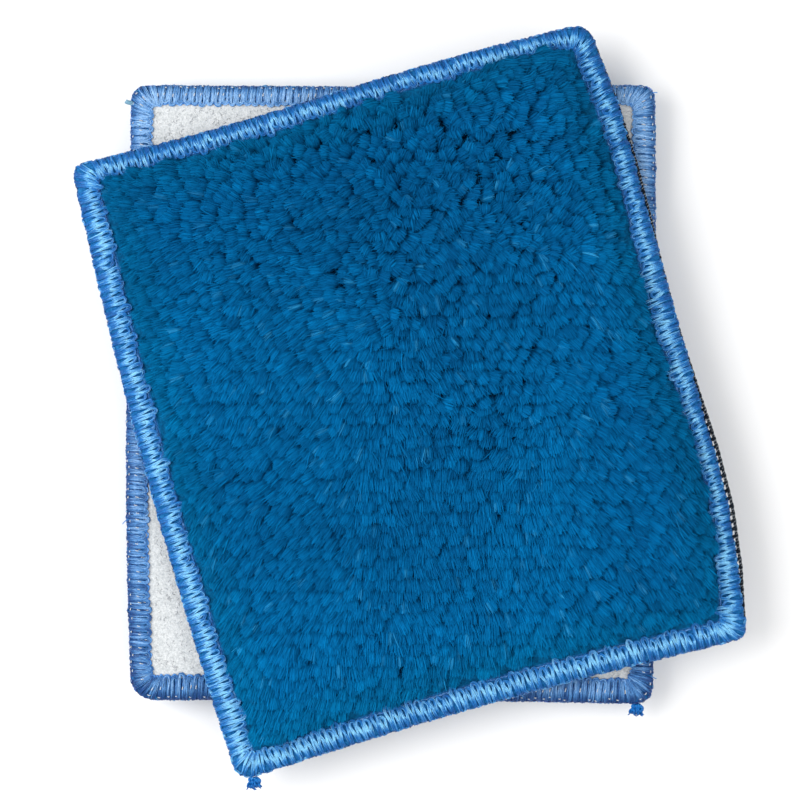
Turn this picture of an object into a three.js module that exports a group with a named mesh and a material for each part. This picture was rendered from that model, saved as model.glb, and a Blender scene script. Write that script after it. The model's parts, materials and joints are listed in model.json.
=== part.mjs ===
// A pair of plush cleaning pads for a magnetic glass cleaner, lying one on the other.
// Each pad is plush fabric, a foam core and a loop-fabric back, oversewn round the edge with
// three threads. The lower (rear) pad lies plush side down, the upper (front) one plush side up.
// Millimetres, +Z up. The origin is the middle of the rear pad's plush face, on the table.

import * as THREE from 'three';

// Layers of a pad, from the plush face to the back.
const PILE_HEIGHT = 6.0;
const KNIT_THICKNESS = 0.6;
const FOAM_THICKNESS = 2.0;
const BACKING_THICKNESS = 1.2;
const LAYER_GAP = 0.1;

// The oversewn edge.
const SEAM_WIDTH = 5.9;
const THREAD_THICKNESS = 0.6;
const THREAD_CHAMFER = 0.5;
const PILE_CHAMFER = 1.5;
const INNER_CORNER_RADIUS = 1.0;

// The chain of thread left hanging where the sewing ends.
const TAIL_WIDTH = 3.6;
const TAIL_LENGTH = 4.5;
const TAIL_THICKNESS = 2.4;
const TAIL_CLEARANCE = 0.3;
const TAIL_ARC_STEPS = 12;

// The front pad lies loose on the rear one, a little off its middle and turned.
const PAD_GAP = 0.3;
const FRONT_OFFSET_X = 6.5;
const FRONT_OFFSET_Y = -2.2;
const FRONT_TURN = THREE.MathUtils.degToRad(14.7);

// Steps of an outline: along each side and round each corner.
const SIDE_STEPS = 10;
const CORNER_STEPS = 4;

// The loop face has a narrow rim of its own, this share of the face's size.
const RIM_SCALE = 0.93;

// Heights in a pad, counted from the plush face.
const KNIT_START = PILE_HEIGHT + LAYER_GAP;
const FOAM_START = KNIT_START + KNIT_THICKNESS + LAYER_GAP;
const BACKING_START = FOAM_START + FOAM_THICKNESS + LAYER_GAP;
const BACKING_END = BACKING_START + BACKING_THICKNESS;
const UPPER_THREAD_START = PILE_HEIGHT - THREAD_THICKNESS;
const LOWER_THREAD_START = BACKING_END + LAYER_GAP;
const PAD_THICKNESS = LOWER_THREAD_START + THREAD_THICKNESS;
const EDGE_MIDDLE = (UPPER_THREAD_START + PAD_THICKNESS) / 2;

const LAYER_INSET = THREAD_THICKNESS + LAYER_GAP;
const LOOPER_INSET = SEAM_WIDTH - THREAD_THICKNESS - LAYER_GAP;
const PILE_INSET = SEAM_WIDTH + LAYER_GAP;

// The pads are cut and sewn by hand, so neither is a true rectangle. Corners go round
// counter-clockwise from the +x -y one. Each side bows out from the straight line between
// its corners by one, two and three half waves of these heights.
const FRONT_PAD = {
  name: 'front',
  plushUp: true,
  corners: [
    { x: 69.1, y: -82.4, radius: 3 },
    { x: 69.6, y: 85.0, radius: 5 },
    { x: -72.3, y: 82.9, radius: 3 },
    { x: -71.0, y: -84.8, radius: 4 },
  ],
  bows: [[4.3, 1.0, 1.5], [0.0, 0.7, 0.0], [2.0, 0.0, 0.0], [-1.7, 0.0, 0.0]],
  tail: { side: 3, share: 0, turn: -15 },
};
const REAR_PAD = {
  name: 'rear',
  plushUp: false,
  corners: [
    { x: 69.4, y: -82.6, radius: 4 },
    { x: 70.0, y: 81.8, radius: 3 },
    { x: -69.2, y: 81.8, radius: 4 },
    { x: -69.4, y: -81.6, radius: 6 },
  ],
  bows: [[0.4, 0.0, 0.0], [-0.4, 0.0, 0.0], [1.0, -0.3, 0.0], [-0.5, 0.0, 0.0]],
  tail: { side: 3, share: 1, turn: -10 },
};

const COLOURS = {
  pile: '#0a5f9c',
  ground_knit: '#1b6aa8',
  foam_core: '#d9dbe0',
  loop_backing: '#dcdee3',
  needle_thread: '#5d9fe0',
  upper_looper_thread: '#4a8fd6',
  lower_looper_thread: '#4f86d2',
  thread_tail: '#4a8fd6',
};

/** A unit vector of the outline's plane, at `degrees` from +X. */
function direction(degrees) {
  const angle = THREE.MathUtils.degToRad(degrees);
  return new THREE.Vector2(Math.cos(angle), Math.sin(angle));
}

/** How far a side stands out at `share` of its length. */
function bowAt(bow, share) {
  return bow.reduce((sum, height, i) => sum + height * Math.sin((i + 1) * Math.PI * share), 0);
}

/** The points round one corner of a pad, moved in from the cut edge by `inset`. */
function cornerArc(corner, index, inset) {
  const radius = Math.max(corner.radius - inset, INNER_CORNER_RADIUS);
  const reach = inset + radius;
  const centre = new THREE.Vector2(
    corner.x - Math.sign(corner.x) * reach,
    corner.y - Math.sign(corner.y) * reach,
  );
  return Array.from({ length: CORNER_STEPS + 1 }, (_, step) => {
    const degrees = (index - 1 + step / CORNER_STEPS) * 90;
    return direction(degrees).multiplyScalar(radius).add(centre);
  });
}

/** A point of side `index`, at `share` of the way between the ends of its two corners' arcs. */
function sidePoint(pad, index, share, inset) {
  const start = cornerArc(pad.corners[index], index, inset).at(-1);
  const next = (index + 1) % pad.corners.length;
  const end = cornerArc(pad.corners[next], next, inset)[0];
  const outward = direction(index * 90).multiplyScalar(bowAt(pad.bows[index], share));
  return start.lerp(end, share).add(outward);
}

/** A pad's outline, moved in from the cut edge by `inset`, at `height` from the plush face. */
function ring(pad, inset, height, scale = 1) {
  const outline = pad.corners.flatMap((corner, index) => {
    const side = Array.from({ length: SIDE_STEPS - 1 }, (_, step) =>
      sidePoint(pad, index, (step + 1) / SIDE_STEPS, inset));
    return [...cornerArc(corner, index, inset), ...side];
  });
  const z = pad.plushUp ? PAD_THICKNESS - height : height;
  return outline.map((point) => new THREE.Vector3(point.x * scale, point.y * scale, z));
}

/** The two triangles between neighbouring points of two rings, all the way round. */
function bandFaces(low, high, count) {
  return Array.from({ length: count }, (_, k) => {
    const next = (k + 1) % count;
    return [low + k, low + next, high + next, low + k, high + next, high + k];
  }).flat();
}

/** The fan of triangles that closes a ring of points at a middle point. */
function capFaces(middle, start, count, facingUp) {
  return Array.from({ length: count }, (_, k) => {
    const here = start + k;
    const next = start + ((k + 1) % count);
    return facingUp ? [middle, here, next] : [middle, next, here];
  }).flat();
}

/**
 * A closed body through rings that go out along the underside, up the outside and in along
 * the top. A hoop joins its last ring to its first; anything else is closed over at both ends.
 */
function bodyThroughRings(pad, rings, isHoop) {
  const ordered = pad.plushUp ? [...rings].reverse() : rings;
  const count = ordered[0].length;
  const points = ordered.flat();
  const joins = isHoop ? ordered.length : ordered.length - 1;
  const faces = [];
  for (let r = 0; r < joins; r++) {
    faces.push(...bandFaces(r * count, ((r + 1) % ordered.length) * count, count));
  }
  if (!isHoop) {
    const top = ordered.length - 1;
    points.push(new THREE.Vector3(0, 0, ordered[0][0].z));
    points.push(new THREE.Vector3(0, 0, ordered[top][0].z));
    faces.push(...capFaces(points.length - 2, 0, count, false));
    faces.push(...capFaces(points.length - 1, top * count, count, true));
  }
  const geometry = new THREE.BufferGeometry().setFromPoints(points);
  geometry.setIndex(faces);
  geometry.computeVertexNormals();
  return geometry;
}

/** A mesh for one piece of a pad, named and coloured for what it is. */
function piece(pad, kind, geometry, roughness) {
  const material = new THREE.MeshStandardMaterial({ color: COLOURS[kind], roughness, metalness: 0 });
  const mesh = new THREE.Mesh(geometry, material);
  mesh.name = `${pad.name}_${kind}`;
  return mesh;
}

/** A flat sheet of fabric or foam, from one height in the pad to another. */
function sheet(pad, start, end) {
  return bodyThroughRings(pad, [ring(pad, LAYER_INSET, start), ring(pad, LAYER_INSET, end)], false);
}

/** The loop fabric: a sheet whose loop face has a narrow rim inside the oversewn edge. */
function loopBacking(pad) {
  const rings = [
    ring(pad, LAYER_INSET, BACKING_START),
    ring(pad, LAYER_INSET, BACKING_END),
    ring(pad, PILE_INSET, BACKING_END),
    ring(pad, PILE_INSET, BACKING_END, RIM_SCALE),
  ];
  return bodyThroughRings(pad, rings, false);
}

/** The space the upright plush pile fills, inside the oversewn edge. */
function pile(pad) {
  const rings = [
    ring(pad, PILE_INSET + PILE_CHAMFER, 0),
    ring(pad, PILE_INSET, PILE_CHAMFER),
    ring(pad, PILE_INSET, PILE_HEIGHT),
  ];
  return bodyThroughRings(pad, rings, false);
}

/** The line of needle thread that runs round the pad between the pile and the looper thread. */
function needleThread(pad) {
  const outer = SEAM_WIDTH - THREAD_THICKNESS;
  const rings = [
    ring(pad, SEAM_WIDTH, UPPER_THREAD_START),
    ring(pad, outer, UPPER_THREAD_START),
    ring(pad, outer, PILE_HEIGHT),
    ring(pad, SEAM_WIDTH, PILE_HEIGHT),
  ];
  return bodyThroughRings(pad, rings, true);
}

/** The thread over the plush side of the seam and half of its edge. */
function upperLooperThread(pad) {
  const end = EDGE_MIDDLE - LAYER_GAP / 2;
  const rings = [
    ring(pad, LOOPER_INSET, UPPER_THREAD_START),
    ring(pad, THREAD_CHAMFER, UPPER_THREAD_START),
    ring(pad, 0, UPPER_THREAD_START + THREAD_CHAMFER),
    ring(pad, 0, end),
    ring(pad, THREAD_THICKNESS, end),
    ring(pad, THREAD_THICKNESS, PILE_HEIGHT),
    ring(pad, LOOPER_INSET, PILE_HEIGHT),
  ];
  return bodyThroughRings(pad, rings, true);
}

/** The thread over the back of the seam and the other half of its edge. */
function lowerLooperThread(pad) {
  const start = EDGE_MIDDLE + LAYER_GAP / 2;
  const rings = [
    ring(pad, 0, start),
    ring(pad, 0, PAD_THICKNESS - THREAD_CHAMFER),
    ring(pad, THREAD_CHAMFER, PAD_THICKNESS),
    ring(pad, LOOPER_INSET, PAD_THICKNESS),
    ring(pad, LOOPER_INSET, LOWER_THREAD_START),
    ring(pad, THREAD_THICKNESS, LOWER_THREAD_START),
    ring(pad, THREAD_THICKNESS, start),
  ];
  return bodyThroughRings(pad, rings, true);
}

/** The thread tail, a flat chain with round ends, hanging from a point of its pad's edge. */
function threadTail(pad) {
  const radius = TAIL_WIDTH / 2;
  const shape = new THREE.Shape();
  shape.absarc(0, 0, radius, 0, Math.PI, false);
  shape.absarc(0, 2 * radius - TAIL_LENGTH, radius, Math.PI, 2 * Math.PI, false);
  const geometry = new THREE.ExtrudeGeometry(shape, {
    depth: TAIL_THICKNESS,
    bevelEnabled: false,
    curveSegments: TAIL_ARC_STEPS,
  });
  const root = sidePoint(pad, pad.tail.side, pad.tail.share, 0);
  const outward = direction(pad.tail.side * 90).multiplyScalar(radius + TAIL_CLEARANCE);
  const middle = pad.plushUp ? PAD_THICKNESS - EDGE_MIDDLE : EDGE_MIDDLE;
  const mesh = piece(pad, 'thread_tail', geometry, 0.5);
  mesh.position.set(root.x + outward.x, root.y + outward.y, middle - TAIL_THICKNESS / 2);
  mesh.rotation.z = THREE.MathUtils.degToRad(pad.tail.turn);
  return mesh;
}

/** A whole pad, lying with its lowest face at z = 0. */
function buildPad(pad) {
  const group = new THREE.Group();
  group.add(
    piece(pad, 'pile', pile(pad), 0.9),
    piece(pad, 'ground_knit', sheet(pad, KNIT_START, KNIT_START + KNIT_THICKNESS), 0.9),
    piece(pad, 'foam_core', sheet(pad, FOAM_START, FOAM_START + FOAM_THICKNESS), 0.95),
    piece(pad, 'loop_backing', loopBacking(pad), 0.95),
    piece(pad, 'needle_thread', needleThread(pad), 0.5),
    piece(pad, 'upper_looper_thread', upperLooperThread(pad), 0.5),
    piece(pad, 'lower_looper_thread', lowerLooperThread(pad), 0.5),
    threadTail(pad),
  );
  return group;
}

const padPair = new THREE.Group();
const frontPad = buildPad(FRONT_PAD);
frontPad.position.set(FRONT_OFFSET_X, FRONT_OFFSET_Y, PAD_THICKNESS + PAD_GAP);
frontPad.rotation.z = FRONT_TURN;
padPair.add(buildPad(REAR_PAD), frontPad);

export default padPair;
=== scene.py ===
"""A pair of plush pads for a magnetic glass cleaner, oversewn round the edge, one lying on the other.

Sizes are millimetres, and become metres where a mesh or the camera is made. Each pad is built in
its own heights: 0 is the middle of its edge and plus is towards its plush side.
"""

import json
import math

import bpy
import numpy as np
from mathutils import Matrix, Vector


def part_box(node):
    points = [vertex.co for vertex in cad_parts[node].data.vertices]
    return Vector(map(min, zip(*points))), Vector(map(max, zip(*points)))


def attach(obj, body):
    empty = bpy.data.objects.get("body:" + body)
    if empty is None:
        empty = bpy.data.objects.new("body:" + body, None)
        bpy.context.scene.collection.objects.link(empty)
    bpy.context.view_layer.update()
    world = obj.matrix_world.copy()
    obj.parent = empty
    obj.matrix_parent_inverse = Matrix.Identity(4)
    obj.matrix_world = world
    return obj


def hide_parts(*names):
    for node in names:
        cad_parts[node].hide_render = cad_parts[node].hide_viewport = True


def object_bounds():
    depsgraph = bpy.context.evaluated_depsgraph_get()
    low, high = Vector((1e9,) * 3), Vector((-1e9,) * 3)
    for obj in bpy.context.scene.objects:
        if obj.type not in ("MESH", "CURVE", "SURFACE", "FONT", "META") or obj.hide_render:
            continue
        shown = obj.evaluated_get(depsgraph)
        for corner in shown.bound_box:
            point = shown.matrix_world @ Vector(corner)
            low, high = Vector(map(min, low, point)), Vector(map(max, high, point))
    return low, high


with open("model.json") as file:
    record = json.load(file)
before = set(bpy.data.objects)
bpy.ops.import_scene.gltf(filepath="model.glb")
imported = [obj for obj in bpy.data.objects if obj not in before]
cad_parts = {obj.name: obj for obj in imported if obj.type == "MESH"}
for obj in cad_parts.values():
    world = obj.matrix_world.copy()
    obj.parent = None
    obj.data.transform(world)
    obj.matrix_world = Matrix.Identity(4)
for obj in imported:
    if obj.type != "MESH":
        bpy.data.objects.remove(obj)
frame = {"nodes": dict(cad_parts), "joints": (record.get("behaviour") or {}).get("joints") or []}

MM = 0.001
CAD_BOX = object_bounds()

# The oversewn edge.
STITCH_PITCH = 2.0
SEAM_ROUNDNESS = 2.6
NORMAL_SMOOTHING = 2.2
RING_STEP = 0.25
LEG_SPREAD = 0.26
PLY_RADIUS = 0.15
CORD_RADIUS = 0.42
CORD_LINK_RADIUS = 0.55

# The layers of cloth and foam, and how many curls of fibre stand on each pad's loop fabric.
KNIT_THICKNESS = 0.6
LOOP_CLOTH_THICKNESS = 0.9
LOOSE_CURLS = {"rear": 6000, "front": 3000}

# The cloth simulation of the loop fabric.
CLOTH_SPACING = 2.5
CLOTH_STUCK_SPOTS = 30
CLOTH_SEED = 34
CLOTH_MASS = 0.02
CLOTH_FRAMES = 20
CLOTH_PUFF = 0.45

# The plush pile.
TUFT_SPACING = 3.3
TUFT_HALF_WIDTH = 2.05
TUFT_HALF_DEPTH = 1.0
TUFT_ROUNDING_START = 0.72
TUFT_ARCH = 0.97
PILE_LEAN_REACH = 5.0
PILE_MARGIN = 0.5
PARTING_PLACE = (4.0, 58.0)
PARTING_REACH = (48.0, 66.0)
STRAND_WIDTH = 0.22
STRAND_POINTS = 4
STRANDS_PER_MESH = 30000

# About how far a pad reaches from its middle: a shade that drifts over the pad changes by 1 in it.
PAD_REACH = 75.0

# The view.
CAMERA_HEIGHT = 600.0
CAMERA_LENS = 99.8
CAMERA_SHIFT = (-2.64, 2.85)


# ---------------------------------------------------------------- shapes from the frame

def node_points(node):
    """A CAD node's corners in mm."""
    mesh = frame["nodes"][node].data
    points = np.empty(len(mesh.vertices) * 3, np.float32)
    mesh.vertices.foreach_get("co", points)
    return points.reshape(-1, 3).astype(float) / MM


def sheet_outline(node, highest):
    """The outline of a CAD sheet's top or bottom face, counter-clockwise, without its middle point."""
    points = node_points(node)
    level = points[:, 2].max() if highest else points[:, 2].min()
    face = points[np.abs(points[:, 2] - level) < 0.01][:, :2]
    face = np.unique(face.round(3), axis=0)
    away = face - face.mean(axis=0)
    radius = np.hypot(away[:, 0], away[:, 1])
    face, away = face[radius > radius.max() / 2], away[radius > radius.max() / 2]
    return face[np.argsort(np.arctan2(away[:, 1], away[:, 0]))]


def resampled(outline, step):
    """A closed outline with points about `step` apart."""
    closed = np.vstack([outline, outline[:1]])
    length = np.concatenate([[0], np.cumsum(np.hypot(*np.diff(closed, axis=0).T))])
    count = int(length[-1] / step)
    at = np.linspace(0, length[-1], count, endpoint=False)
    return np.column_stack([np.interp(at, length, closed[:, i]) for i in (0, 1)])


def smoothed_round(values, window):
    """Moving average of a closed run of rows."""
    kernel = np.ones(window) / window
    padded = np.concatenate([values[-window:], values, values[:window]])
    return np.column_stack([
        np.convolve(padded[:, i], kernel, "same")[window:-window] for i in range(values.shape[1])
    ])


def unit(vectors):
    """Vectors of length 1 along the last axis."""
    return vectors / np.maximum(np.linalg.norm(vectors, axis=-1, keepdims=True), 1e-9)


def turned(vector, angle):
    """A flat vector turned counter-clockwise."""
    c, s = math.cos(angle), math.sin(angle)
    return np.array([c * vector[0] - s * vector[1], s * vector[0] + c * vector[1]])


def distance_to_outline(starts, directions, outline):
    """How far each start is from a closed outline, straight along its own direction."""
    a = outline
    edge = np.roll(outline, -1, axis=0) - a
    cross = directions[:, None, 0] * edge[None, :, 1] - directions[:, None, 1] * edge[None, :, 0]
    to_edge = a[None] - starts[:, None]
    along = (to_edge[..., 0] * edge[None, :, 1] - to_edge[..., 1] * edge[None, :, 0]) / cross
    share = (to_edge[..., 0] * directions[:, None, 1] - to_edge[..., 1] * directions[:, None, 0]) / cross
    hit = (share >= -1e-6) & (share <= 1 + 1e-6) & (along > 0)
    return np.where(hit, along, np.inf).min(axis=1)


class Pad:
    """One pad's places, taken from its CAD nodes.

    The seam runs round the pad. A station, from 0 to 1, is a place along it, and a share, from
    0 to 1, is a place across it, from the needle line out to the cut edge.
    """

    def __init__(self, name, plush_up, turn, painted_side_shade, trims, cord_side=None):
        self.name = name
        self.painted_side_shade = np.array(painted_side_shade)
        self.body = f"{name}_pad"
        self.sign = 1 if plush_up else -1
        self.turn = math.radians(turn)
        low_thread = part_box(f"{name}_lower_looper_thread")
        high_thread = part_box(f"{name}_upper_looper_thread")
        levels = [corner.z / MM for corner in (*low_thread, *high_thread)]
        self.middle = (min(levels) + max(levels)) / 2
        knit = [corner.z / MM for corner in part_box(f"{name}_ground_knit")]
        pile = [corner.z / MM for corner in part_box(f"{name}_pile")]
        self.knit_height = max(self.sign * (z - self.middle) for z in knit)
        self.pile_height = max(self.sign * (z - self.middle) for z in pile) - self.knit_height
        inner = resampled(sheet_outline(f"{name}_pile", not plush_up), RING_STEP)
        layer = sheet_outline(f"{name}_loop_backing", plush_up)
        self._lay_out_seam(inner, layer, trims)
        self.cord_span = None if cord_side is None else self.side(cord_side)

    def _lay_out_seam(self, inner, layer, trims):
        """The needle line, its outward normals, the seam's width and the stitches round it."""
        forward = np.roll(inner, -1, axis=0) - np.roll(inner, 1, axis=0)
        outward = unit(np.column_stack([forward[:, 1], -forward[:, 0]]))
        self.normals = unit(smoothed_round(outward, int(2 * NORMAL_SMOOTHING / RING_STEP)))
        thread_edge = node_points(f"{self.name}_upper_looper_thread")[:, 0].min()
        past_layer = max(layer[:, 0].min() - thread_edge, 0)
        full_width = distance_to_outline(inner, self.normals, layer) + past_layer
        sideways = self.normals @ turned((1, 0), self.turn)
        upward = self.normals @ turned((0, 1), self.turn)
        facings = (sideways, upward, -sideways, -upward)
        narrower = sum(trim * np.clip(facing, 0, 1) ** 2 for trim, facing in zip(trims, facings))
        self.inner = inner + self.normals * narrower[:, None]
        self.width = full_width - narrower
        self.centre = self.inner.mean(axis=0)
        centre_line = self.inner + self.normals * self.width[:, None] / 2
        step = np.hypot(*(np.roll(centre_line, -1, axis=0) - centre_line).T)
        self.seam_length = step.sum()
        self.stations = np.concatenate([[0], np.cumsum(step)]) / self.seam_length
        self.stitches = int(round(self.seam_length / STITCH_PITCH))

    def _along(self, values, station):
        """Values kept per point of the needle line, read at stations."""
        wrapped = np.mod(station, 1.0)
        closed = np.concatenate([values, values[:1]])
        return np.interp(wrapped, self.stations, closed)

    def cord_room(self, station):
        """How far the sewing stops short of the cut edge, where a loose cord stands off it."""
        if self.cord_span is None:
            return np.zeros_like(station)
        start, span = self.cord_span
        share = np.mod(station - start, 1.0) / span
        room = 0.15 + 1.35 * np.exp(-((share - 0.22) / 0.18) ** 4) + 0.8 * np.exp(
            -((share - 0.74) / 0.10) ** 4)
        return np.where(share < 1, room * np.clip(np.minimum(share, 1 - share) * 20, 0, 1), 0)

    def seam(self, station, share, proud=0.0):
        """Points across the seam, in the pad's plane; `proud` is mm further out."""
        normal = unit(np.stack([self._along(self.normals[:, i], station) for i in (0, 1)], -1))
        start = np.stack([self._along(self.inner[:, i], station) for i in (0, 1)], -1)
        reach = (self._along(self.width, station) - self.cord_room(station)) * share + proud
        return start + normal * reach[..., None]

    def crown(self, share):
        """The seam's height at a share, as a part of its height at the needle line."""
        inside = np.clip(share, 0, 1)
        return (1 - inside ** SEAM_ROUNDNESS) ** (1 / SEAM_ROUNDNESS)

    def seam_surface(self, station, turn, lift):
        """Points on the seam's rounded surface. Turn is 0 at the needle line on the plush side,
        1 at the middle of the edge and 2 at the needle line on the back."""
        share = 1 - np.abs(turn - 1)
        side = np.where(turn > 1, -1.0, 1.0)
        part = self.crown(share)
        across = np.clip(share, 0, 1) ** (SEAM_ROUNDNESS - 1) * self.knit_height
        up = part ** (SEAM_ROUNDNESS - 1) * self._along(self.width, station)
        size = np.hypot(across, up)
        flat = self.seam(station, share, lift * across / size)
        height = side * (part * self.knit_height + lift * up / size)
        return np.concatenate([flat, height[..., None]], axis=-1)

    def world(self, points):
        """Points in the pad's own heights, moved to the row frame, still in mm."""
        moved = np.array(points, float)
        moved[..., 2] = self.middle + self.sign * moved[..., 2]
        return moved

    def corner_stations(self):
        """Stations of the four corners, counter-clockwise from the +x -y one."""
        found = []
        for corner in ((1, -1), (1, 1), (-1, 1), (-1, -1)):
            heading = turned(corner, self.turn)
            found.append(self.stations[int(np.argmax((self.inner - self.centre) @ heading))])
        return found

    def side(self, number):
        """The station where a side starts and its share of the seam. 0 is the +x side, 1 the +y one."""
        corners = self.corner_stations()
        return corners[number], (corners[(number + 1) % 4] - corners[number]) % 1.0

    def depth_inside(self, points, every):
        """How far points are inside the needle line, and which way out is, from some of its points."""
        line = self.inner[::every]
        nearest = np.linalg.norm(points[:, None] - line[None], axis=2).argmin(axis=1)
        outward = self.normals[::every][nearest]
        return -((points - line[nearest]) * outward).sum(axis=1), outward


def waves(points, wavelength, seed, count=7):
    """Smooth noise from -1 to 1 over the plane, the sum of a few waves of about one length."""
    rng = np.random.default_rng(seed)
    total = np.zeros(points.shape[:-1])
    for _ in range(count):
        heading = rng.uniform(0, 2 * math.pi)
        length = wavelength * rng.uniform(0.7, 1.5)
        phase = rng.uniform(0, 2 * math.pi)
        along = points[..., 0] * math.cos(heading) + points[..., 1] * math.sin(heading)
        total += np.sin(along * 2 * math.pi / length + phase)
    return total / count * 1.8


# ---------------------------------------------------------------- meshes

def make_mesh(name, pad, points, quads, tris=None, attributes=None, uvs=None):
    """A mesh object from points in a pad's own heights. Face order turns with the pad."""
    name = f"{pad.name}_{name}"
    tris = np.zeros((0, 3), int) if tris is None else tris
    if pad.sign < 0:
        quads, tris = quads[:, ::-1], tris[:, ::-1]
        uvs = None if uvs is None else [block[:, ::-1] for block in uvs]
    mesh = bpy.data.meshes.new(name)
    placed = pad.world(points) * MM
    mesh.vertices.add(len(placed))
    mesh.vertices.foreach_set("co", placed.astype(np.float32).ravel())
    corners = np.concatenate([quads.ravel(), tris.ravel()]).astype(np.int32)
    starts = np.concatenate([
        np.arange(len(quads)) * 4,
        len(quads) * 4 + np.arange(len(tris)) * 3,
    ]).astype(np.int32)
    mesh.loops.add(len(corners))
    mesh.loops.foreach_set("vertex_index", corners)
    mesh.polygons.add(len(starts))
    mesh.polygons.foreach_set("loop_start", starts)
    mesh.polygons.foreach_set("use_smooth", np.ones(len(starts), bool))
    for key, values in (attributes or {}).items():
        mesh.attributes.new(key, "FLOAT", "POINT").data.foreach_set(
            "value", np.asarray(values, np.float32).ravel())
    mesh.update(calc_edges=True)
    if uvs is not None:
        flat = np.concatenate([block.reshape(-1, 2) for block in uvs])
        layer = mesh.uv_layers.new(name="OFBake")
        layer.data.foreach_set("uv", flat.astype(np.float32).ravel())
    obj = bpy.data.objects.new(name, mesh)
    bpy.context.scene.collection.objects.link(obj)
    return obj


def grid_quads(index):
    """Faces between neighbouring rows and columns of point numbers, which are the last two axes."""
    near, far = index[..., :-1, :], index[..., 1:, :]
    return np.stack([near[..., :-1], near[..., 1:], far[..., 1:], far[..., :-1]], -1).reshape(-1, 4)


def flipped(quads):
    """The same faces, seen from the other side."""
    return quads[:, [0, 3, 2, 1]]


def joined_up(rings, axis):
    """Rings of values along an axis, each with its first value again at its end."""
    rings = np.array(rings)
    return np.concatenate([rings, rings.take([0], axis)], axis)


def carried_frames(paths):
    """Two directions across each path at each point, carried along it without twist."""
    tangents = unit(np.gradient(paths, axis=1))
    chord = unit(paths[:, -1] - paths[:, 0] + np.array([1e-4, 2e-4, 0]))
    side = np.cross(chord, [0.0, 0.0, 1.0])
    side = unit(np.where(np.linalg.norm(side, axis=1, keepdims=True) < 0.05, [1.0, 0.3, 0.1], side))
    sides = np.empty_like(paths)
    for step in range(paths.shape[1]):
        tangent = tangents[:, step]
        side = unit(side - (side * tangent).sum(axis=1, keepdims=True) * tangent)
        sides[:, step] = side
    return sides, np.cross(tangents, sides)


def map_cells(count, steps, run):
    """Each path's cells of the colour map, one for every `run` steps: the cell's corner for each
    step, the heights of the step's four corners in it, and how many cells stand side by side."""
    segment = np.arange(steps - 1)
    cell = np.arange(count)[:, None] * -(-(steps - 1) // run) + segment // run
    per_row = int(math.ceil(math.sqrt(cell.max() + 1)))
    corner = np.stack([cell % per_row, cell // per_row], -1)[:, :, None] / per_row
    v = (segment % run)[None, :, None] + np.array([0, 0, 1, 1])
    return corner, 0.1 + 0.8 * v / run, per_row


def tubes(paths, radii, sides, frames=None, run=None):
    """Points, quads, end triangles and map corners of round tubes along paths (tube, step, xyz).

    Every `run` steps of a tube take one cell of the colour map."""
    count, steps = paths.shape[:2]
    across, over = frames or carried_frames(paths)
    angles = np.arange(sides) / sides * 2 * math.pi
    ring = (across[:, :, None] * np.cos(angles)[:, None] + over[:, :, None] * np.sin(angles)[:, None])
    points = paths[:, :, None] + ring * radii[:, :, None, None]
    index = np.arange(count * steps * sides).reshape(count, steps, sides)
    fan = np.arange(1, sides - 1)
    caps = []
    for end, second, third in ((index[:, 0], fan + 1, fan), (index[:, -1], fan, fan + 1)):
        centre = np.repeat(end[:, :1], len(fan), 1)
        caps.append(np.stack([centre, end[:, second], end[:, third]], -1).reshape(-1, 3))
    tris = np.concatenate(caps)
    corner, v, per_row = map_cells(count, steps, run or steps - 1)
    u = 0.1 + 0.8 * (np.arange(sides)[None, None, :, None] + np.array([0, 1, 1, 0])) / sides
    inside = np.stack(np.broadcast_arrays(u, v[:, :, None]), -1) / per_row
    quad_map = (corner[:, :, None] + inside).reshape(-1, 4, 2)
    tri_map = np.full((len(tris), 3, 2), 0.5 / per_row)
    return points.reshape(-1, 3), grid_quads(joined_up(index, 2)), tris, [quad_map, tri_map]


def ribbons(paths, across, widths, run=6):
    """Points, quads and map corners of flat fibres along paths (fibre, step, xyz).

    Every `run` steps of a fibre take one cell of the colour map."""
    count, steps = paths.shape[:2]
    half = across * widths[..., None] / 2
    points = np.stack([paths - half, paths + half], axis=2)
    index = np.arange(count * steps * 2).reshape(count, steps, 2)
    corner, v, per_row = map_cells(count, steps, min(run, steps - 1))
    u = np.broadcast_to(np.array([0.1, 0.9, 0.9, 0.1]), v.shape)
    inside = np.stack([u, v], -1) / per_row
    return points.reshape(-1, 3), grid_quads(index), [(corner + inside).reshape(-1, 4, 2)]


def curve_through(points, finer):
    """A smooth closed run of points through the given ones, `finer` times as many."""
    before, after, after_next = (np.roll(points, n, axis=0) for n in (1, -1, -2))
    pieces = []
    for t in np.arange(finer) / finer:
        pieces.append(0.5 * (
            2 * points + (after - before) * t
            + (2 * before - 5 * points + 4 * after - after_next) * t ** 2
            + (3 * points - before - 3 * after + after_next) * t ** 3
        ))
    return np.stack(pieces, axis=1).reshape(-1, points.shape[1])


def dress(piece, pad, material, part, body=None):
    """Gives a piece its material and its body, and hides the CAD node, a part of the pad, that it stands
    for.
    """
    piece.data.materials.append(material)
    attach(piece, body or pad.body)
    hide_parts(f"{pad.name}_{part}")


# ---------------------------------------------------------------- materials

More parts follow.
